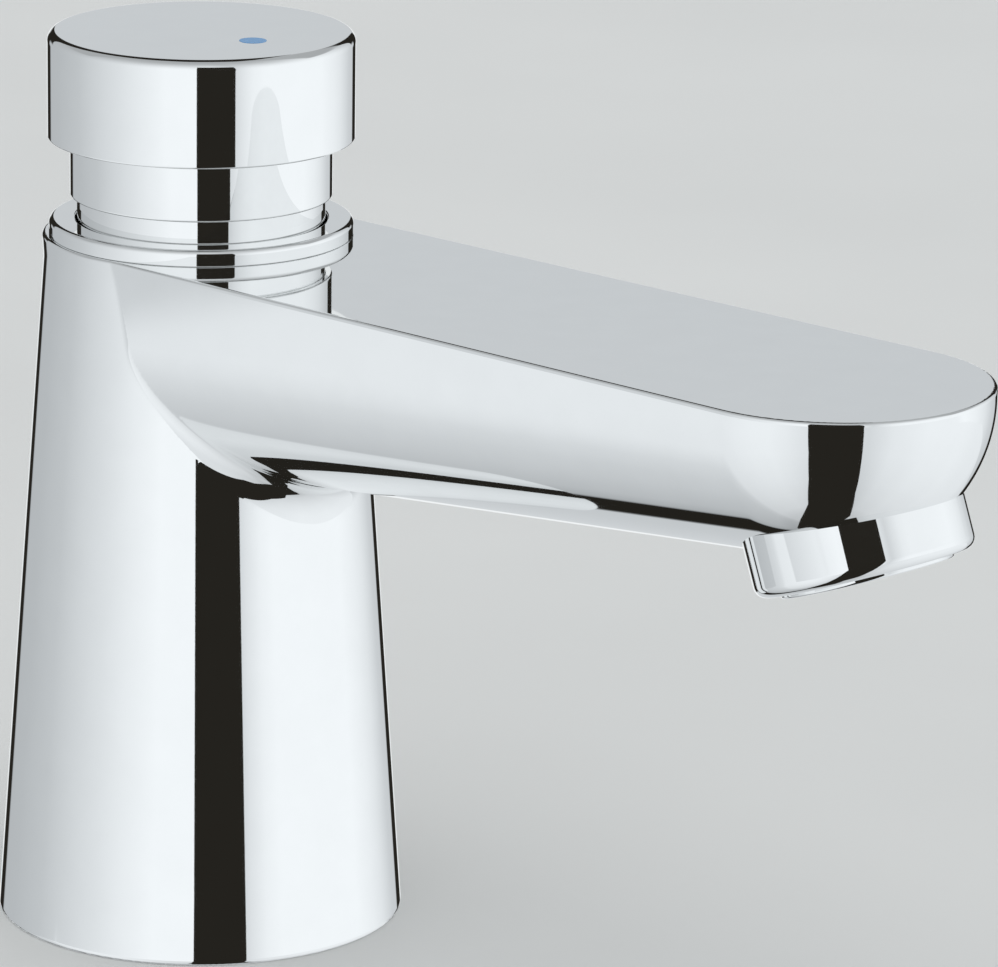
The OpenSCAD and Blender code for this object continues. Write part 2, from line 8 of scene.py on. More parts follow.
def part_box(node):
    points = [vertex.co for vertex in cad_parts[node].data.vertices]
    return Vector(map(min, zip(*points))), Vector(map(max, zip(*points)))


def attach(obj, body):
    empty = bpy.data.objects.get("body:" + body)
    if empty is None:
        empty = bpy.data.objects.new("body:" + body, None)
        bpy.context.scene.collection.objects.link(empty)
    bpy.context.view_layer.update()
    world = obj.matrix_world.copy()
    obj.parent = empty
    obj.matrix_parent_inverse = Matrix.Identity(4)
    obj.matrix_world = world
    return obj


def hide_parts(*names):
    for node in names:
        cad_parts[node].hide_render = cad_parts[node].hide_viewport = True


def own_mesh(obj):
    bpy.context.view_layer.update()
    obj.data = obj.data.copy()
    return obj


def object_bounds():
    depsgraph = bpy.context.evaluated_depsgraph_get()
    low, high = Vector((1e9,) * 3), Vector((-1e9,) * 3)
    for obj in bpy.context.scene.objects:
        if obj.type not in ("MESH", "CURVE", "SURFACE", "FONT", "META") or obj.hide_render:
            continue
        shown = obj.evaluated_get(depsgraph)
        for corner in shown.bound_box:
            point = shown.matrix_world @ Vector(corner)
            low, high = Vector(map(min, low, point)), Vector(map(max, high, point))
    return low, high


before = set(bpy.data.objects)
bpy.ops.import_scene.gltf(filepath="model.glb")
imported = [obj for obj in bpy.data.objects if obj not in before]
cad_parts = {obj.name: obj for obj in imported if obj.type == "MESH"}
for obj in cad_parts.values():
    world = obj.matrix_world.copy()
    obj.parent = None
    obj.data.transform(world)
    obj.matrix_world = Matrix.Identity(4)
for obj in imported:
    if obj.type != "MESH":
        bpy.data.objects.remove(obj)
cad_low, cad_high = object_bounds()


# Inlet tail: brass bar, bored through and cut with a G 1/2 pipe thread all along.
# It screws up into the foot of the casting, passes the deck and takes the supply hose below the back nut.
# A plain groove under the nut is where the hose's union nut stops.
MM = 0.001
tail_r = 20.955 / 2
tail_bore_r = 6.5
tail_bottom, tail_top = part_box("inlet_tail")[0].z / MM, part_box("inlet_tail")[1].z / MM
thread_pitch = 25.4 / 14
thread_depth = 1.162
thread_flat = 0.1  # share of a flank that crest and root cut off
thread_steps = 8
tail_sides = 72
groove_bottom, groove_top, groove_depth = -27.5, -26, 0.8
shank_step = 0.2
end_chamfer = 1
crease_angle = math.radians(50)


def linear(colour):
    """An sRGB hex colour as linear red, green, blue and alpha."""
    shares = [int(colour[i:i + 2], 16) / 255 for i in (1, 3, 5)]
    return [c / 12.92 if c <= 0.04045 else ((c + 0.055) / 1.055) ** 2.4 for c in shares] + [1.0]


def add(tree, kind, inputs=None, stops=None, **settings):
    """Adds a node with its settings, its ramp's colours, and the values or links of its inputs."""
    made = tree.nodes.new(kind)
    for name, value in settings.items():
        setattr(made, name, value)
    for socket, value in (inputs or {}).items():
        if isinstance(value, bpy.types.NodeSocket):
            tree.links.new(value, made.inputs[socket])
        else:
            made.inputs[socket].default_value = value
    if stops:
        ramp = made.color_ramp.elements
        ramp[0].position, ramp[1].position = stops[0][0], stops[-1][0]
        ramp[0].color, ramp[1].color = linear(stops[0][1]), linear(stops[-1][1])
        for position, colour in stops[1:-1]:
            ramp.new(position).color = linear(colour)
    return made


def start_material(name, constants):
    """A new material, its node tree, its shader with the constants set, and the object's coordinates."""
    made = bpy.data.materials.new(name)
    made.use_nodes = True
    shader = made.node_tree.nodes["Principled BSDF"]
    for socket, value in constants.items():
        shader.inputs[socket].default_value = value
    place = add(made.node_tree, "ShaderNodeTexCoord").outputs["Object"]
    return made, made.node_tree, shader, place


def dress(material, *names):
    """Gives CAD nodes their finish."""
    for name in names:
        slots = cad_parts[name].data.materials
        slots.clear()
        slots.append(material)


def add_piece(name, points_mm, faces, material, normals=None):
    """A smooth mesh piece, with its own shading normals where they are given."""
    mesh = bpy.data.meshes.new(name)
    mesh.from_pydata((np.asarray(points_mm) * MM).tolist(), [], [list(face) for face in faces])
    mesh.shade_smooth()
    if normals is not None:
        mesh.normals_split_custom_set_from_vertices(np.asarray(normals).tolist())
    mesh.materials.append(material)
    piece = bpy.data.objects.new(name, mesh)
    bpy.context.scene.collection.objects.link(piece)
    return piece


def quads_between(rows, columns, joined_ends):
    """Quads between rows of points whose columns close on themselves."""
    row = np.arange(rows if joined_ends else rows - 1)[:, None]
    column = np.arange(columns)[None, :]
    after, beside = (row + 1) % rows, (column + 1) % columns
    here, there = row * columns, after * columns
    return np.stack([here + column, here + beside, there + beside, there + column], -1).reshape(-1, 4)


# Turned brass: warm yellow with fine rings left by the tool, and duller in soft patches.
tool_mark_mm = 0.35
tool_mark_depth_mm = 0.02
dull_patch_mm = 9
brass, tree, shader, place = start_material("brass_turned", {"Metallic": 1.0})
rings = add(tree, "ShaderNodeTexWave", {
    "Vector": place, "Scale": math.pi / 10 / (tool_mark_mm * MM), "Distortion": 0.6, "Detail": 2.0,
}, bands_direction="Z")
patches = add(tree, "ShaderNodeTexNoise", {
    "Vector": place, "Scale": 1 / (dull_patch_mm * MM), "Detail": 4.0,
})
tint = add(tree, "ShaderNodeValToRGB", {"Fac": patches.outputs["Fac"]}, [(0.3, "#B4913F"), (0.7, "#D9B765")])
tree.links.new(tint.outputs["Color"], shader.inputs["Base Color"])
gloss = add(tree, "ShaderNodeMapRange", {"Value": patches.outputs["Fac"], "To Min": 0.2, "To Max": 0.36})
tree.links.new(gloss.outputs["Result"], shader.inputs["Roughness"])
relief = add(tree, "ShaderNodeBump", {
    "Height": rings.outputs["Fac"], "Strength": 0.4, "Distance": tool_mark_depth_mm * MM,
})
tree.links.new(relief.outputs["Normal"], shader.inputs["Normal"])

turn = np.linspace(0, 2 * math.pi, tail_sides, endpoint=False)[None, :]
tail_rows = round((tail_top - tail_bottom) / thread_pitch * thread_steps)
height = np.linspace(tail_bottom, tail_top, tail_rows)[:, None]
flank = np.abs(2 * ((height / thread_pitch - turn / (2 * math.pi)) % 1) - 1)
cut = thread_depth * np.clip((1 + 2 * thread_flat) * flank - thread_flat, 0, 1)
radius = tail_r - cut - np.where(height > groove_top, shank_step, 0)
in_groove = (height > groove_bottom) & (height < groove_top)
radius = np.where(in_groove, tail_r - groove_depth, radius)
radius = np.minimum(radius, tail_r - end_chamfer + np.minimum(height - tail_bottom, tail_top - height))
radius = np.concatenate([radius, np.full((2, turn.size), tail_bore_r)])
height = np.concatenate([height, [[tail_top], [tail_bottom]]]) + 0 * turn
tail_points = np.stack([radius * np.cos(turn), radius * np.sin(turn), height], -1)
tail = add_piece("inlet_tail_threaded", tail_points.reshape(-1, 3),
                 quads_between(len(tail_points), turn.size, True), brass)
tail.data.set_sharp_from_angle(angle=crease_angle)
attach(tail, "tap")
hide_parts("inlet_tail")


# Back nut: sawn from hexagon brass bar, tapped, with one face bevelled.
# It runs up the tail and pulls the tap down on the deck.
dress(brass, "back_nut")


# Clamp washer, strainer, valve seat, screen, pin and screw: stainless steel, pressed, drawn or turned.
# The washer spreads the back nut's pull under the deck, and the others sit inside the water way.
# Stainless steel as rolled: grey with a fine straight grain and a soft sheen.
grain_mm = 0.25
grain_length_mm = 12
grain_depth_mm = 0.01
stainless, tree, shader, place = start_material("stainless_steel_rolled", {"Metallic": 1.0})
stretch = add(tree, "ShaderNodeMapping", {
    "Vector": place, "Scale": (1 / (grain_length_mm * MM), 1 / (grain_mm * MM), 1 / (grain_mm * MM)),
})
grain = add(tree, "ShaderNodeTexNoise", {"Vector": stretch.outputs["Vector"], "Scale": 1.0, "Detail": 3.0})
tint = add(tree, "ShaderNodeValToRGB", {"Fac": grain.outputs["Fac"]}, [(0.3, "#A3A7AA"), (0.7, "#C2C6C8")])
tree.links.new(tint.outputs["Color"], shader.inputs["Base Color"])
gloss = add(tree, "ShaderNodeMapRange", {"Value": grain.outputs["Fac"], "To Min": 0.24, "To Max": 0.4})
tree.links.new(gloss.outputs["Result"], shader.inputs["Roughness"])
relief = add(tree, "ShaderNodeBump", {
    "Height": grain.outputs["Fac"], "Strength": 0.2, "Distance": grain_depth_mm * MM,
})
tree.links.new(relief.outputs["Normal"], shader.inputs["Normal"])
dress(stainless, "clamp_washer", "inlet_strainer", "valve_seat", "metering_pin", "aerator_screen",
      "cap_screw")


# Gaskets, washers, O-rings and lip seal: black rubber, each moulded in one piece.
# The base gasket lies in the foot's ledge, the clamp gasket is under the deck, the rest seal joints.
# Moulded nitrile rubber: near black, dull, with a faint bloom and the grain of the mould.
mould_grain_mm = 0.3
mould_grain_depth_mm = 0.02
bloom_mm = 7
rubber, tree, shader, place = start_material("nitrile_rubber_moulded", {"IOR": 1.52})
bloom = add(tree, "ShaderNodeTexNoise", {"Vector": place, "Scale": 1 / (bloom_mm * MM), "Detail": 5.0})
tint = add(tree, "ShaderNodeValToRGB", {"Fac": bloom.outputs["Fac"]}, [(0.35, "#1D1E20"), (0.75, "#2F3033")])
tree.links.new(tint.outputs["Color"], shader.inputs["Base Color"])
gloss = add(tree, "ShaderNodeMapRange", {"Value": bloom.outputs["Fac"], "To Min": 0.55, "To Max": 0.75})
tree.links.new(gloss.outputs["Result"], shader.inputs["Roughness"])
pores = add(tree, "ShaderNodeTexNoise", {"Vector": place, "Scale": 1 / (mould_grain_mm * MM), "Detail": 2.0})
relief = add(tree, "ShaderNodeBump", {
    "Height": pores.outputs["Fac"], "Strength": 0.3, "Distance": mould_grain_depth_mm * MM,
})
tree.links.new(relief.outputs["Normal"], shader.inputs["Normal"])
dress(rubber, "base_gasket", "clamp_gasket", "tail_washer", "cartridge_gasket", "cartridge_o_ring",
      "stem_o_ring", "rod_o_ring", "piston_seal", "valve_washer", "aerator_seal")


# Tap body: pillar, spout and outlet collar cast in one piece of brass, ground, polished and chrome plated.
# The spout is a trough with a round end under a dead flat top, blended into the pillar by a small fillet.
# It stands on the deck and holds everything else.
foot_r = cad_high.y / MM
top_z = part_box("tap_body")[1].z / MM
spout_reach = -cad_low.y / MM
pillar_top_r = 18.9
spout_r = 18.6
side_h_root = 10.4
side_h_tip = 1.4
root_fillet = 5.5
fillet_tightening = 0.6
top_edge = 0.4
foot_edge = 0.5
outlet_r = 12.7
outlet_setback = 12.6
outlet_drop = 21.1
outlet_tilt = math.radians(20.4)
outlet_edge = 1.4
outlet_len = 14
mouth_r = 10
seat_r = 11.3
mouth_depth = 10
feed_r = 7.5
feed_depth = 16
lean = math.atan((foot_r - pillar_top_r) / top_z)
tip_u = spout_reach - spout_r
rise = math.atan((side_h_root - side_h_tip) / tip_u)
tip_run = tip_u / math.cos(rise)
axis_z = top_z - side_h_root
tip_z = top_z - side_h_tip
mouth_y = outlet_setback - spout_reach
mouth_z = top_z - outlet_drop
head_r, head_low = 16.8, 75
barrel_r, barrel_low = 13.5, 44
spigot_r, spigot_low = 12, 33.95
water_r, water_low = 8, 14
socket_r = 10.53
cut_past = 1
# Radius, bottom and top of each bore, from the cartridge's head down to the tail's socket
bores = [
    (head_r, head_low, top_z + cut_past),
    (barrel_r, barrel_low, head_low),
    (spigot_r, spigot_low, barrel_low),
    (water_r, water_low, spigot_low),
    (socket_r, -cut_past, water_low),
]
boss_r = 15.03
ledge_rim = 1.7
ledge_h = 2.2
pillar_wall = 3.4
recess_h = 26
tiny = 1e-6


def fillet(a, b, agree, radius):
    """Joins two distances with a rolled fillet; agree is the dot product of the two faces' normals."""
    away_a, away_b = radius - a, radius - b
    spread = np.maximum(1 - agree ** 2, tiny)
    ball = np.sqrt(np.maximum(away_a ** 2 + away_b ** 2 - 2 * agree * away_a * away_b, 0) / spread)
    between = (away_a > agree * away_b) & (away_b > agree * away_a)
    return np.where(between, radius - ball, np.minimum(a, b))


def round_over(a, b, radius):
    """Cuts one distance by another with a rounded edge."""
    past_a, past_b = np.maximum(a + radius, 0), np.maximum(b + radius, 0)
    return np.minimum(np.maximum(a, b) + radius, 0) + np.hypot(past_a, past_b) - radius


def casting(x, y, z):
    """Distance in millimetres from the casting's skin, negative inside the metal."""
    across = np.maximum(np.hypot(x, y), tiny)
    pillar = (across - foot_r) * math.cos(lean) + z * math.sin(lean)
    run = (z - axis_z) * math.sin(rise) - y * math.cos(rise)
    past = np.minimum(run, 0) + np.maximum(np.where(z > tip_z, -y - tip_u, run - tip_run), 0)
    below = np.minimum((z - axis_z) * math.cos(rise) + y * math.sin(rise), 0)
    below = np.where((z > tip_z) & (past > 0), 0, below)
    reach = np.maximum(np.sqrt(x ** 2 + past ** 2 + below ** 2), tiny)
    spout_normal_y = (below * math.sin(rise) - past * math.cos(rise)) / reach
    spout_normal_z = (below * math.cos(rise) + past * math.sin(rise)) / reach
    agree = (x * x / reach + y * spout_normal_y) / across * math.cos(lean) + spout_normal_z * math.sin(lean)
    root_radius = root_fillet * (1 - fillet_tightening * np.minimum((x / spout_r) ** 2, 1))
    skin = fillet(pillar, reach - spout_r, agree, root_radius)
    skin = round_over(skin, z - top_z, top_edge)
    skin = round_over(skin, -z, foot_edge)

    # The outlet collar is a turned piece of its own below, and its bore goes right through the skin here.
    height = (y - mouth_y) * math.sin(outlet_tilt) + (z - mouth_z) * math.cos(outlet_tilt)
    fore = (y - mouth_y) * math.cos(outlet_tilt) - (z - mouth_z) * math.sin(outlet_tilt)
    out = np.hypot(x, fore)
    skin = np.maximum(skin, -np.maximum(out - seat_r, height - outlet_len))
    skin = np.maximum(skin, -np.maximum(out - feed_r, height - feed_depth))

    for radius, low, high in bores:
        skin = np.maximum(skin, -np.maximum(across - radius, np.maximum(low - z, z - high)))
    ledge = np.maximum(np.maximum(across - foot_r + ledge_rim, boss_r - across), z - ledge_h)
    recess = np.maximum(np.maximum(pillar + pillar_wall, boss_r - across), z - recess_h)
    return np.maximum(skin, -np.minimum(ledge, recess))


def grid_lines(*stops):
    """Coordinates from the first stop to the last; the numbers between the stops are the steps."""
    runs = [np.arange(a, b - step / 2, step) for a, step, b in zip(stops[::2], stops[1::2], stops[2::2])]
    return np.concatenate(runs + [[stops[-1]]])


def slope_of(distance, points, reach=0.004):
    """How a distance grows along x, y and z at each point."""
    ahead = [distance(*(points + reach * axis).T) for axis in np.eye(3)]
    behind = [distance(*(points - reach * axis).T) for axis in np.eye(3)]
    return (np.stack(ahead, 1) - np.stack(behind, 1)) / (2 * reach)


def unit(vectors):
    """The same directions, each one long."""
    return vectors / np.maximum(np.linalg.norm(vectors, axis=-1, keepdims=True), tiny)


def skin_over(name, distance, lines, material):
    """Quads over the surface where a distance is zero, one corner in each grid cell that it crosses."""
    halvings, settling_rounds = 16, 4
    centre_pull = 0.03
    gentlest_slope, longest_move = 0.2, 0.2
    inside = distance(lines[0][:, None, None], lines[1][None, :, None], lines[2][None, None, :]) < 0
    shape = [len(line) - 1 for line in lines]
    step = np.eye(3, dtype=int)
    rings, crossings, flips = [], [], []
    for axis in range(3):
        u, v = (axis + 1) % 3, (axis + 2) % 3
        changes = inside.take(range(shape[axis]), axis) != inside.take(range(1, shape[axis] + 1), axis)
        edge = np.argwhere(changes)
        edge = edge[(edge[:, [u, v]] > 0).all(1) & (edge[:, [u, v]] < [shape[u], shape[v]]).all(1)]
        low = np.stack([lines[i][edge[:, i]] for i in range(3)], 1)
        high = np.stack([lines[i][edge[:, i] + step[axis][i]] for i in range(3)], 1)
        rising = distance(*low.T) < 0
        for halving in range(halvings):
            middle = (low + high) / 2
            keep_low = (distance(*middle.T) < 0) == rising
            low[keep_low], high[~keep_low] = middle[keep_low], middle[~keep_low]
        around = [edge, edge - step[u], edge - step[u] - step[v], edge - step[v]]
        rings.append(np.stack([np.ravel_multi_index(cell.T, shape) for cell in around], 1))
        crossings.append((low + high) / 2)
        flips.append(~rising)
    rings, crossings, flips = np.concatenate(rings), np.concatenate(crossings), np.concatenate(flips)
    cells, faces = np.unique(rings, return_inverse=True)
    faces = faces.reshape(rings.shape)
    facing = unit(slope_of(distance, crossings))

    # Each corner goes where the tangent planes of its cell's crossings meet, so that creases stay crisp.
    planes, pulls = np.zeros((len(cells), 3, 3)), np.zeros((len(cells), 3))
    centres, shares = np.zeros((len(cells), 3)), np.zeros((len(cells), 1))
    for side in range(4):
        np.add.at(planes, faces[:, side], facing[:, :, None] * facing[:, None, :])
        np.add.at(pulls, faces[:, side], facing * (facing * crossings).sum(1, keepdims=True))
        np.add.at(centres, faces[:, side], crossings)
        np.add.at(shares, faces[:, side], 1)
    centres /= shares
    planes += centre_pull * np.eye(3)
    points = np.linalg.solve(planes, (pulls + centre_pull * centres)[..., None])[..., 0]
    place = np.stack(np.unravel_index(cells, shape), 1)
    for i in range(3):
        points[:, i] = np.clip(points[:, i], lines[i][place[:, i]], lines[i][place[:, i] + 1])
    for settle in range(settling_rounds):
        slope = slope_of(distance, points)
        steep = np.maximum((slope ** 2).sum(1, keepdims=True), gentlest_slope)
        points -= np.clip(distance(*points.T)[:, None] * slope / steep, -longest_move, longest_move)

    faces[flips] = faces[flips][:, ::-1]
    return add_piece(name, points, faces, material, unit(slope_of(distance, points)))


# Chrome plate, polished: a bright neutral mirror with a breath of haze, barely wavy from the buffing wheel.
# Its tint is lighter than bare chrome's, to suit the bright exposure.
buff_wave_mm = 14
buff_depth_mm = 0.003
haze_mm = 5
chrome, tree, shader, place = start_material("chrome_plate_polished", {"Metallic": 1.0})
haze = add(tree, "ShaderNodeTexNoise", {"Vector": place, "Scale": 1 / (haze_mm * MM), "Detail": 4.0})
tint = add(tree, "ShaderNodeValToRGB", {"Fac": haze.outputs["Fac"]}, [(0.3, "#EFF0F0"), (0.7, "#F1F2F2")])
tree.links.new(tint.outputs["Color"], shader.inputs["Base Color"])
gloss = add(tree, "ShaderNodeMapRange", {"Value": haze.outputs["Fac"], "To Min": 0.02, "To Max": 0.04})
tree.links.new(gloss.outputs["Result"], shader.inputs["Roughness"])
waves = add(tree, "ShaderNodeTexNoise", {"Vector": place, "Scale": 1 / (buff_wave_mm * MM), "Detail": 1.0})
relief = add(tree, "ShaderNodeBump", {
    "Height": waves.outputs["Fac"], "Strength": 1.0, "Distance": buff_depth_mm * MM,
})
tree.links.new(relief.outputs["Normal"], shader.inputs["Normal"])

# The grid is closest along the spout's sides and tip, the seam with the pillar, the foot and the top edge.
coarse, medium, fine, finest = 1, 0.5, 0.25, 0.2
grid_half = 25.75
body = skin_over("tap_body_skin", casting, [
    grid_lines(-grid_half, medium, -19.5, fine, -17.5, medium, 17.5, fine, 19.5, medium, grid_half),
    grid_lines(-119.25, fine, -117, medium, -84, coarse, -28, medium, -12, finest, -2, medium, grid_half),
    grid_lines(-0.75, fine, 1, coarse, 52, medium, 84, finest, 86),
], chrome)
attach(body, "tap")
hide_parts("tap_body")


# Outlet collar: the short tube under the spout's tip, cast with it, turned and threaded for the aerator.
# It leans out towards the user, so it meets the round spout end in a crisp slanting line.
def round_corners(outline, closed, arc_points=8):
    """Points and outward facing along an outline of (radius, height, corner radius) corners."""
    points, facing = [], []
    corners = np.array(outline, float)
    for i, (*here, radius) in enumerate(corners):
        before = unit(np.subtract(here, corners[i - 1][:2]))
        after = unit(np.subtract(corners[(i + 1) % len(corners)][:2], here))
        if not closed and i in (0, len(corners) - 1):
            along = after if i == 0 else before
            points.append(here)
            facing.append((along[1], -along[0]))
            continue
        swing = math.atan2(before[0] * after[1] - before[1] * after[0], before @ after)
        side = math.copysign(1, swing)
        first = math.atan2(-before[0], before[1])
        start = here - before * radius * math.tan(abs(swing) / 2)
        centre = start - side * radius * np.array([before[1], -before[0]])
        for angle in np.linspace(first, first + swing, arc_points):
            facing.append((math.cos(angle), math.sin(angle)))
            points.append(centre + side * radius * np.array(facing[-1]))
    return np.array(points), np.array(facing)


def lathe(name, outline, material, sides=160):
    """A turned piece from an outline of (radius, height, corner radius) round it, or from axis to axis."""
    closed = outline[0][0] > 0
    profile, facing = round_corners(outline, closed)
    around = np.linspace(0, 2 * math.pi, sides, endpoint=False)
    circle = np.stack([np.cos(around), np.sin(around), 0 * around], -1)
    up = np.array([0, 0, 1])
    ringed = slice(None) if closed else slice(1, -1)
    points = profile[ringed, None, :1] * circle + profile[ringed, None, 1:] * up
    normals = facing[ringed, None, :1] * circle + facing[ringed, None, 1:] * up
    faces = quads_between(len(points), sides, closed).tolist()
    points, normals = points.reshape(-1, 3), normals.reshape(-1, 3)
    if not closed:
        first, last = len(points), len(points) + 1
        points = np.concatenate([points, profile[[0, -1], 1:] * up])
        normals = np.concatenate([normals, facing[[0, -1], 1:] * up])
        faces += [[first, (k + 1) % sides, k] for k in range(sides)]
        top_row = first - sides
        faces += [[last, top_row + k, top_row + (k + 1) % sides] for k in range(sides)]
    return add_piece(name, points, faces, material, normals)


edge_break = 0.12
mouth_edge = 0.3
outlet = lathe("tap_body_outlet", [
    (feed_r, outlet_len, edge_break), (feed_r, mouth_depth, edge_break), (mouth_r, mouth_depth, edge_break),
    (mouth_r, 0, mouth_edge), (outlet_r, 0, outlet_edge), (outlet_r, outlet_len, edge_break),
], chrome)
outlet_frame = Matrix.Translation(Vector((0, mouth_y, mouth_z)) * MM) @ Matrix.Rotation(-outlet_tilt, 4, "X")
outlet.matrix_world = outlet_frame
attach(outlet, "tap")


# Cartridge and valve: housing, rod, cup and nut turned from brass; they drop into the pillar from above.
# The rod joins the cap, the timing piston and the valve in one plunger.
dress(brass, "cartridge_housing", "push_rod", "valve_cup", "valve_nut")


# Carrier, piston, seal retainer and stream straightener: white acetal, injection moulded.
# The carrier clips into the cap and the piston times the flow.
# Moulded acetal: milky white with a waxy sheen and faint flow marks from the gate.
flow_mark_mm = 4
flow_mark_depth_mm = 0.02
acetal_ior = 1.48
acetal, tree, shader, place = start_material("acetal_moulded_white", {
    "IOR": acetal_ior, "Subsurface Weight": 0.08,
})
flow = add(tree, "ShaderNodeTexNoise", {
    "Vector": place, "Scale": 1 / (flow_mark_mm * MM), "Detail": 3.0, "Distortion": 1.5,
})
tint = add(tree, "ShaderNodeValToRGB", {"Fac": flow.outputs["Fac"]}, [(0.3, "#DFDDD4"), (0.7, "#ECEAE3")])
tree.links.new(tint.outputs["Color"], shader.inputs["Base Color"])
gloss = add(tree, "ShaderNodeMapRange", {"Value": flow.outputs["Fac"], "To Min": 0.32, "To Max": 0.46})
tree.links.new(gloss.outputs["Result"], shader.inputs["Roughness"])
relief = add(tree, "ShaderNodeBump", {
    "Height": flow.outputs["Fac"], "Strength": 0.2, "Distance": flow_mark_depth_mm * MM,
})
tree.links.new(relief.outputs["Normal"], shader.inputs["Normal"])
dress(acetal, "cap_carrier", "timing_piston", "seal_retainer", "aerator_honeycomb")


# Return spring: stainless wire coiled round a mandrel, free of the rod and of the cylinder's wall.
# It stands on the cartridge's divider and lifts the piston; the coil here keeps one fixed shape.
# Drawn spring wire: brighter than sheet, with fine lengthwise die lines.
coil_r = 6.5
wire_r = 0.6
coil_turns = 6
rings_per_turn = 40
wire_sides = 14
coil_low, coil_high = 56.15, 70.85
die_line_mm = 0.2
wire, tree, shader, place = start_material("stainless_wire_drawn", {"Metallic": 1.0})
lines = add(tree, "ShaderNodeTexNoise", {"Vector": place, "Scale": 1 / (die_line_mm * MM), "Detail": 2.0})
tint = add(tree, "ShaderNodeValToRGB", {"Fac": lines.outputs["Fac"]}, [(0.3, "#AEB2B5"), (0.7, "#CBCFD1")])
tree.links.new(tint.outputs["Color"], shader.inputs["Base Color"])
gloss = add(tree, "ShaderNodeMapRange", {"Value": lines.outputs["Fac"], "To Min": 0.16, "To Max": 0.3})
tree.links.new(gloss.outputs["Result"], shader.inputs["Roughness"])
share = np.linspace(0, 1, coil_turns * rings_per_turn + 1)[:, None]
swing = 2 * math.pi * coil_turns * share
section = np.linspace(0, 2 * math.pi, wire_sides, endpoint=False)[None, :]
reach = coil_r + wire_r * np.cos(section)
coil_height = coil_low + (coil_high - coil_low) * share + wire_r * np.sin(section)
coil_points = np.stack([reach * np.cos(swing), reach * np.sin(swing), coil_height], -1)
coil_faces = quads_between(len(coil_points), wire_sides, False)[:, ::-1].tolist()
last_ring = (len(coil_points) - 1) * wire_sides
coil_faces += [list(range(wire_sides)), [last_ring + k for k in reversed(range(wire_sides))]]
spring = add_piece("return_spring_coil", coil_points.reshape(-1, 3), coil_faces, wire)
spring.data.set_sharp_from_angle(angle=crease_angle)
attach(spring, "tap")
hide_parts("return_spring")
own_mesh(spring)


# Cartridge cover: turned brass, chromed, a cup whose neck stands up through the collar.
# Only a narrow ring of the neck shows, as the recess under the guide sleeve.
flange_r, flange_low, flange_top = 16.65, 78, 80
neck_r, neck_top, neck_edge = 15.05, 98.2, 0.3
cup_r, cup_floor, cup_fillet = 12.55, 82, 0.4
rod_hole_r = 4.05
seal_groove_r, seal_groove_low, seal_groove_top = 5.87, 78.95, 81.05
cover = lathe("cartridge_cover_turned", [
    (rod_hole_r, flange_low, edge_break), (flange_r, flange_low, edge_break),
    (flange_r, flange_top, edge_break), (neck_r, flange_top, edge_break),
    (neck_r, neck_top, neck_edge), (cup_r, neck_top, neck_edge),
    (cup_r, cup_floor, cup_fillet), (rod_hole_r, cup_floor, edge_break),
    (rod_hole_r, seal_groove_top, edge_break), (seal_groove_r, seal_groove_top, edge_break),
    (seal_groove_r, seal_groove_low, edge_break), (rod_hole_r, seal_groove_low, edge_break),
], chrome)
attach(cover, "tap")
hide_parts("cartridge_cover")


# Collar: turned brass ring, chromed, screwed into the pillar over the cartridge's flange.
# Its edge stands a little inside the pillar's, which leaves a fine ledge.
collar_r, collar_thread_r, collar_bore_r = 18.45, 16.75, 15.25
collar_top = top_z + 2
collar_edge, collar_under_edge, collar_bore_edge = 0.7, 0.15, 0.3
collar = lathe("collar_turned", [
    (collar_bore_r, flange_top, edge_break), (collar_thread_r, flange_top, edge_break),
    (collar_thread_r, top_z, edge_break), (collar_r, top_z, collar_under_edge),
    (collar_r, collar_top, collar_edge), (collar_bore_r, collar_top, collar_bore_edge),
], chrome)
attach(collar, "tap")
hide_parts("collar")


# Guide sleeve: drawn brass tube, chromed, pressed on the neck.
# The cap slides down over it, and it hides the gap inside.
sleeve_r, sleeve_bore_r = 15.89, 15.07
sleeve_low = 90.2
sleeve_low_edge, sleeve_top_edge = 0.28, 0.2
sleeve = lathe("guide_sleeve_drawn", [
    (sleeve_bore_r, sleeve_low, edge_break), (sleeve_r, sleeve_low, sleeve_low_edge),
    (sleeve_r, neck_top, sleeve_top_edge), (sleeve_bore_r, neck_top, edge_break),
], chrome)
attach(sleeve, "tap")
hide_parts("guide_sleeve")


# Push cap: a deep round cap, turned from brass bar, polished and chromed, with a dead flat top.
# It clips on the carrier and is the only piece that a hand touches.
cap_r, cap_bore_r = 18.59, 16.24
cap_low, cap_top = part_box("push_cap")[0].z / MM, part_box("push_cap")[1].z / MM
cap_ceiling = cap_top - 2
cap_edge, cap_rim_edge, cap_inner_fillet = 1.2, 0.25, 0.4
cap = lathe("push_cap_turned", [
    (0, cap_ceiling, 0), (cap_bore_r, cap_ceiling, cap_inner_fillet), (cap_bore_r, cap_low, cap_rim_edge),
    (cap_r, cap_low, cap_rim_edge), (cap_r, cap_top, cap_edge), (0, cap_top, 0),
], chrome)
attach(cap, "button")
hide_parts("push_cap")


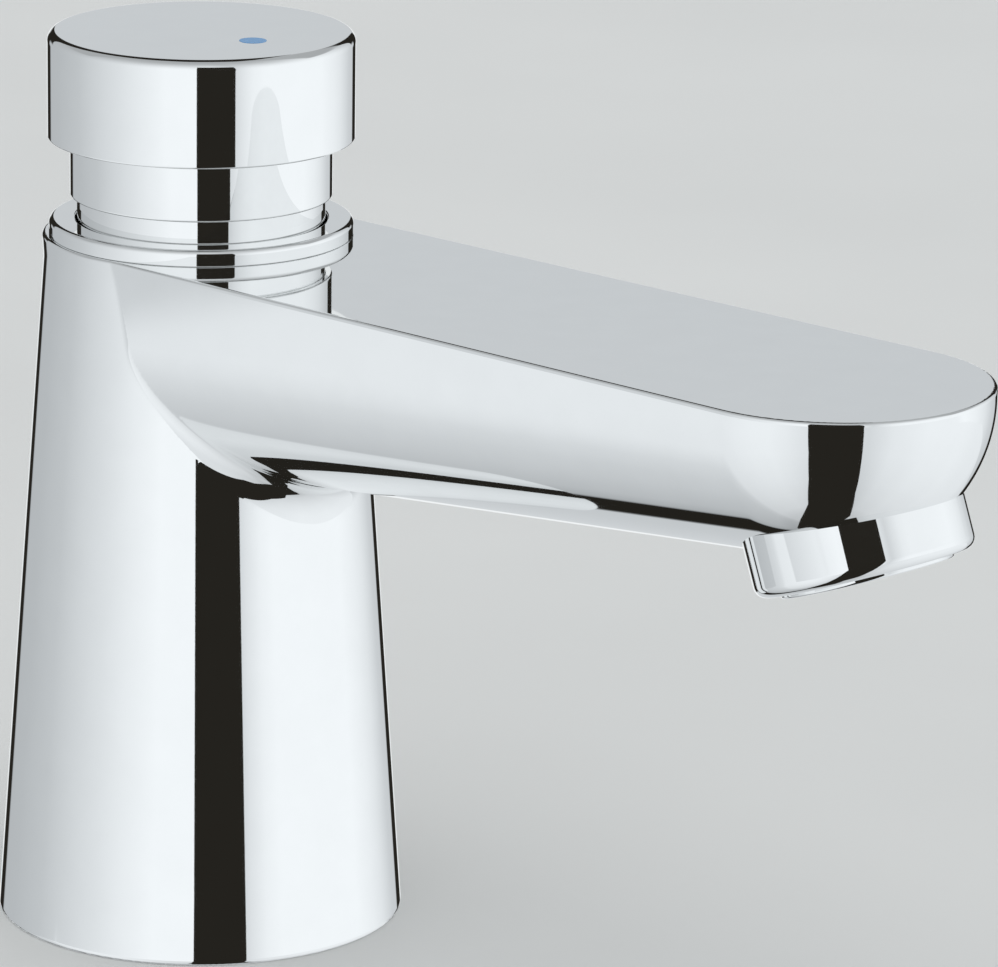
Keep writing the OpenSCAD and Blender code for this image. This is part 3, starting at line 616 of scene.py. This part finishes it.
# Cold mark: a small round plug of blue plastic, moulded and pressed into the cap's top, towards the user.
# Moulded acrylic: an even clear blue with a soft gloss.
mark_r = 1.65
mark_y = -8.7
mark_rise, mark_sink = 0.04, 0.03
mark_edge, mark_base_edge = 0.03, 0.01
mark_sides = 48
pigment_mm = 0.6
acrylic, tree, shader, place = start_material("acrylic_moulded_blue", {"IOR": 1.49})
pigment = add(tree, "ShaderNodeTexNoise", {"Vector": place, "Scale": 1 / (pigment_mm * MM), "Detail": 2.0})
tint = add(tree, "ShaderNodeValToRGB", {"Fac": pigment.outputs["Fac"]}, [(0.3, "#659ACC"), (0.7, "#6DA2D4")])
tree.links.new(tint.outputs["Color"], shader.inputs["Base Color"])
gloss = add(tree, "ShaderNodeMapRange", {"Value": pigment.outputs["Fac"], "To Min": 0.3, "To Max": 0.4})
tree.links.new(gloss.outputs["Result"], shader.inputs["Roughness"])
mark = lathe("cold_mark_plug", [
    (0, -mark_sink, 0), (mark_r, -mark_sink, mark_base_edge), (mark_r, mark_rise, mark_edge),
    (0, mark_rise, 0),
], acrylic, mark_sides)
mark.location = Vector((0, mark_y, cap_top)) * MM
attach(mark, "button")
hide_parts("cold_mark")


# Aerator: a chromed brass shell screwed into the outlet, holding straightener, limiter and screen.
# Its lip shows as a thin ring just below the outlet collar.
shell_r, shell_bore_r, shell_top = 9.95, 8.6, 8.6
lip_bore_r, lip_low, lip_top = 7.9, -0.5, 0.3
lip_edge, lip_bore_edge = 0.25, 0.1
shell = lathe("aerator_shell_turned", [
    (lip_bore_r, lip_low, lip_bore_edge), (shell_r, lip_low, lip_edge), (shell_r, shell_top, edge_break),
    (shell_bore_r, shell_top, edge_break), (shell_bore_r, lip_top, edge_break),
    (lip_bore_r, lip_top, lip_bore_edge),
], chrome)
shell.matrix_world = outlet_frame
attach(shell, "tap")
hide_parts("aerator_shell")

# Moulded grey acetal of the flow limiter: the white one's waxy sheen, coloured to tell the flow rate.
limiter_plastic, tree, shader, place = start_material("acetal_moulded_grey", {"IOR": acetal_ior})
flow = add(tree, "ShaderNodeTexNoise", {
    "Vector": place, "Scale": 1 / (flow_mark_mm * MM), "Detail": 3.0, "Distortion": 1.5,
})
tint = add(tree, "ShaderNodeValToRGB", {"Fac": flow.outputs["Fac"]}, [(0.3, "#868B8F"), (0.7, "#979CA0")])
tree.links.new(tint.outputs["Color"], shader.inputs["Base Color"])
gloss = add(tree, "ShaderNodeMapRange", {"Value": flow.outputs["Fac"], "To Min": 0.34, "To Max": 0.48})
tree.links.new(gloss.outputs["Result"], shader.inputs["Roughness"])
dress(limiter_plastic, "flow_limiter")


# Floor: a plain pale board under the tap, as the deck that it stands on.
# It isn't mirrored in the chrome, which shows only the studio's panels.
floor_half = 3  # in metres
mottle_mm = 125
mesh = bpy.data.meshes.new("floor")
floor_corners = [(-floor_half, -floor_half, 0), (floor_half, -floor_half, 0),
                 (floor_half, floor_half, 0), (-floor_half, floor_half, 0)]
mesh.from_pydata(floor_corners, [], [(0, 1, 2, 3)])
floor = bpy.data.objects.new("floor", mesh)
bpy.context.scene.collection.objects.link(floor)
board, tree, shader, place = start_material("painted_board_matt", {"Roughness": 0.8})
mottle = add(tree, "ShaderNodeTexNoise", {"Vector": place, "Scale": 1 / (mottle_mm * MM), "Detail": 3.0})
tint = add(tree, "ShaderNodeValToRGB", {"Fac": mottle.outputs["Fac"]}, [(0.3, "#E4E4E2"), (0.7, "#E8E8E6")])
tree.links.new(tint.outputs["Color"], shader.inputs["Base Color"])
mesh.materials.append(board)
floor.visible_glossy = False


# Camera: at the photograph's angle, far off with a long lens.
# It looks a little down on the tap, whose spout comes forward to the right.
scene = bpy.context.scene
camera_azimuth = math.radians(-47.339)
camera_elevation = math.radians(15.486)
camera_distance = 804 * MM
camera_aim = Vector((23.8, -27.7, 54.6)) * MM
camera_roll = math.radians(0.801)
back = Vector((math.sin(camera_azimuth) * math.cos(camera_elevation),
               -math.cos(camera_azimuth) * math.cos(camera_elevation), math.sin(camera_elevation)))
lens = bpy.data.cameras.new("camera")
lens.sensor_width = 36
lens.lens = 237.2
lens.clip_start, lens.clip_end = 0.05, 20
camera = bpy.data.objects.new("camera", lens)
scene.collection.objects.link(camera)
camera.matrix_world = (Matrix.Translation(camera_aim + back * camera_distance)
                       @ (-back).to_track_quat("-Z", "Y").to_matrix().to_4x4()
                       @ Matrix.Rotation(camera_roll, 4, "Z"))
scene.camera = camera


# Studio light: pale panels all round under a grey ceiling, dark gaps and a grey wall behind the tap,
# and one soft sun for the board. Heights in the sky are sines of the elevation.
panel_black, ceiling_grey, back_wall_grey = "#24221E", "#A6A9AB", "#C2C6C9"
horizon_low, horizon_high = -0.05, 0.1
floor_edge_soft = 0.008
ceiling_curve = 2.0
far_side = -0.2
far_ceiling_low, far_ceiling_high = 0.42, 0.55
dark_top_soft = 0.06
back_wall_from = math.radians(171)
back_wall_top, back_wall_full = 0.5, 0.42
scene.view_settings.view_transform = "Standard"
world = bpy.data.worlds.new("studio")
scene.world = world
world.use_nodes = True
tree = world.node_tree
background = tree.nodes["Background"]
direction = add(tree, "ShaderNodeTexCoord").outputs["Generated"]
turned = add(tree, "ShaderNodeMapping", {
    "Vector": direction, "Rotation": (0, 0, math.pi / 2 - camera_azimuth),
})
parts = add(tree, "ShaderNodeSeparateXYZ", {"Vector": turned.outputs["Vector"]})
bearing = add(tree, "ShaderNodeMath", {0: parts.outputs["Y"], 1: parts.outputs["X"]}, operation="ARCTAN2")
bearing_share = add(tree, "ShaderNodeMapRange", {
    "Value": bearing.outputs["Value"], "From Min": -math.pi, "From Max": math.pi,
})
# Colours by bearing in degrees, with 0 towards the camera and 90 to its right
wall_bearings = [
    (-180, "#E9ECED"), (-165, "#E9ECED"), (-164, panel_black), (-151.5, panel_black), (-150, "#B0B4B7"),
    (-130, "#B4B8BB"), (-101, "#BFC3C6"), (-84, "#CCD0D3"), (-61, "#DBDFE2"), (-44, "#E7EBEE"),
    (-24, "#F2F6F9"), (10, "#F2F6F9"), (27, "#D2D6D9"), (33, "#DFE3E6"), (41, "#ECF0F3"),
    (50, "#F2F6F9"), (104, "#F2F6F9"), (120, "#E9EDF0"), (130, "#E0E4E7"), (137, "#D6DADD"),
    (146, "#C8CCCF"), (156, "#C2C6C9"), (157.5, panel_black), (170, panel_black), (171, "#E9ECED"),
    (180, "#E9ECED"),
]
floor_bearings = [
    (-180, "#CACED1"), (-156, "#CACED1"), (-154, panel_black), (-137.5, panel_black), (-136, "#B0B4B7"),
    (-127, "#C0C4C7"), (-110, "#CACED1"), (-100, "#CFD3D6"), (-93, "#D6DADD"), (-87.5, "#E3E7EA"),
    (-80, "#E5E9EC"), (-71, "#E8ECEF"), (-60, "#EAEEF1"), (-45, "#EBEFF2"), (-32, "#E6EAED"),
    (-20, "#DEE2E5"), (10, "#D6DADD"), (24, "#D2D6D9"), (42, "#E3E7EA"), (70, "#EBEFF2"),
    (105, "#EBEFF2"), (140, "#E3E7EA"), (156, "#D2D6D9"), (180, "#CACED1"),
]
# How far down the floor starts at each bearing, as a grey
floor_edges = [
    (-112, "#B3B3B3"), (-100, "#959595"), (-90.6, "#898989"), (-87.8, "#858585"), (80, "#858585"),
    (110, "#8C8C8C"), (130, "#949494"), (150, "#B3B3B3"),
]
# How high up the dark behind the tap ends at each bearing, as a grey
dark_tops = [
    (-180, "#BCBCBC"), (-152, "#BCBCBC"), (-140, "#000000"), (149, "#000000"), (153, "#BCBCBC"),
    (163, "#BCBCBC"), (168, "#B3B3B3"), (180, "#B3B3B3"),
]
# How the floor darkens towards straight down
floor_fall = [
    (0.26, "#FFFFFF"), (0.5, "#FDFDFD"), (0.643, "#F9F9F9"), (0.766, "#F4F4F4"), (0.866, "#ECECEC"),
    (0.94, "#E2E2E2"), (0.97, "#D2D2D2"),
]
depth = add(tree, "ShaderNodeMapRange", {
    "Value": parts.outputs["Z"], "From Min": 0, "From Max": -1,
})
panels, floor_light, floor_edge, dark_top = [
    add(tree, "ShaderNodeValToRGB", {"Fac": bearing_share.outputs["Result"]},
        [((degrees + 180) / 360, colour) for degrees, colour in stops])
    for stops in (wall_bearings, floor_bearings, floor_edges, dark_tops)
]
aside = add(tree, "ShaderNodeMath", {0: bearing.outputs["Value"]}, operation="ABSOLUTE")
behind = add(tree, "ShaderNodeMath", {0: aside.outputs["Value"], 1: back_wall_from},
             operation="GREATER_THAN")
above = add(tree, "ShaderNodeMapRange", {
    "Value": parts.outputs["Z"], "From Min": horizon_low, "From Max": horizon_high,
}, interpolation_type="SMOOTHSTEP")
fall = add(tree, "ShaderNodeValToRGB", {"Fac": depth.outputs["Result"]}, floor_fall)
dimmed_floor = add(tree, "ShaderNodeMixRGB", {
    "Fac": 1.0, "Color1": floor_light.outputs["Color"], "Color2": fall.outputs["Color"],
}, blend_type="MULTIPLY")
past_edge = add(tree, "ShaderNodeMath", {0: depth.outputs["Result"], 1: floor_edge.outputs["Color"]},
                operation="SUBTRACT")
floor_share = add(tree, "ShaderNodeMapRange", {
    "Value": past_edge.outputs["Value"], "From Min": 0, "From Max": floor_edge_soft,
}, interpolation_type="SMOOTHSTEP")
lit_panels = add(tree, "ShaderNodeMixRGB", {
    "Fac": floor_share.outputs["Result"], "Color1": panels.outputs["Color"],
    "Color2": dimmed_floor.outputs["Color"],
})
raised = add(tree, "ShaderNodeMapRange", {"Value": parts.outputs["Z"]})
gentle_rise = add(tree, "ShaderNodeMath", {0: raised.outputs["Result"], 1: ceiling_curve},
                  operation="POWER")
far_share = add(tree, "ShaderNodeMapRange", {
    "Value": parts.outputs["X"], "From Min": 0, "From Max": far_side,
}, interpolation_type="SMOOTHSTEP")
over_back = add(tree, "ShaderNodeMapRange", {
    "Value": parts.outputs["Z"], "From Min": far_ceiling_low, "From Max": far_ceiling_high,
}, interpolation_type="SMOOTHSTEP")
far_ceiling = add(tree, "ShaderNodeMath", {
    0: far_share.outputs["Result"], 1: over_back.outputs["Result"],
}, operation="MULTIPLY")
ceiling_share = add(tree, "ShaderNodeMath", {
    0: gentle_rise.outputs["Value"], 1: far_ceiling.outputs["Value"],
}, operation="MAXIMUM")
walls = add(tree, "ShaderNodeMixRGB", {
    "Fac": ceiling_share.outputs["Value"], "Color1": lit_panels.outputs["Color"],
    "Color2": linear(ceiling_grey),
})
under_dark_top = add(tree, "ShaderNodeMath", {0: dark_top.outputs["Color"], 1: parts.outputs["Z"]},
                     operation="SUBTRACT")
dark_reach = add(tree, "ShaderNodeMapRange", {
    "Value": under_dark_top.outputs["Value"], "From Min": 0, "From Max": dark_top_soft,
}, interpolation_type="SMOOTHSTEP")
dark_share = add(tree, "ShaderNodeMath", {0: dark_reach.outputs["Result"], 1: above.outputs["Result"]},
                 operation="MULTIPLY")
shaded_walls = add(tree, "ShaderNodeMixRGB", {
    "Fac": dark_share.outputs["Value"], "Color1": walls.outputs["Color"], "Color2": linear(panel_black),
})
under_wall_top = add(tree, "ShaderNodeMapRange", {
    "Value": parts.outputs["Z"], "From Min": back_wall_top, "From Max": back_wall_full,
}, interpolation_type="SMOOTHSTEP")
back_wall_height = add(tree, "ShaderNodeMath", {
    0: above.outputs["Result"], 1: under_wall_top.outputs["Result"],
}, operation="MULTIPLY")
back_wall_share = add(tree, "ShaderNodeMath", {
    0: back_wall_height.outputs["Value"], 1: behind.outputs["Value"],
}, operation="MULTIPLY")
sky = add(tree, "ShaderNodeMixRGB", {
    "Fac": back_wall_share.outputs["Value"], "Color1": shaded_walls.outputs["Color"],
    "Color2": linear(back_wall_grey),
})
tree.links.new(sky.outputs["Color"], background.inputs["Color"])
studio_level = 1.14
background.inputs["Strength"].default_value = studio_level

# A black card stands in front and runs on under the tap; the chrome mirrors it as the dark stripe.
# A third sheet, far overhead behind the tap, draws the fine dark lines on the rims.
card_front, card_low, card_high = -325, -340, 3000
front_outline = [
    (-4.5, 320), (167, 320), (167, 0), (172, -100), (192, card_low), (-33, card_low), (-15, -200),
    (-4.5, -50),
]
under_outline = [
    (-33, card_front), (192, card_front), (170, -230), (150, -150), (108, -100), (105, 30), (60, 30),
    (-10, -20), (-15, -100), (-12, -230),
]
over_outline = [
    (480, 900), (620, 1560), (270, 5700), (-3300, 5700), (-1320, 1860), (-840, 1260), (-240, 840),
]
sheets = [
    [(x, card_front, z) for x, z in front_outline],
    [(x, y, card_low) for x, y in under_outline],
    [(x, y, card_high) for x, y in over_outline],
]
corners, faces = [], []
for sheet in sheets:
    faces.append(list(range(len(corners), len(corners) + len(sheet))))
    corners += sheet
mesh = bpy.data.meshes.new("black_card")
mesh.from_pydata((np.array(corners) * MM).tolist(), [], faces)
card = bpy.data.objects.new("black_card", mesh)
scene.collection.objects.link(card)
card.matrix_world = Matrix.Rotation(camera_azimuth, 4, "Z")
card_paper = bpy.data.materials.new("card_black_matt")
card_paper.use_nodes = True
tree = card_paper.node_tree
tree.nodes.remove(tree.nodes["Principled BSDF"])
glow = add(tree, "ShaderNodeEmission", {"Color": linear(panel_black), "Strength": studio_level})
tree.links.new(glow.outputs["Emission"], tree.nodes["Material Output"].inputs["Surface"])
mesh.materials.append(card_paper)
card.visible_camera = False
card.visible_diffuse = False
card.visible_shadow = False

# The deck hides what is below it from the chrome as well.
for piece in [tail] + [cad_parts[name] for name in ("back_nut", "clamp_washer", "clamp_gasket")]:
    piece.visible_glossy = False

# The soft sun stands straight overhead and gives the board its even light.
lamp = bpy.data.lights.new("soft lamp", "SUN")
lamp.angle = math.radians(70)
lamp.energy = 0.8
soft_lamp = bpy.data.objects.new("soft lamp", lamp)
scene.collection.objects.link(soft_lamp)
soft_lamp.visible_glossy = False
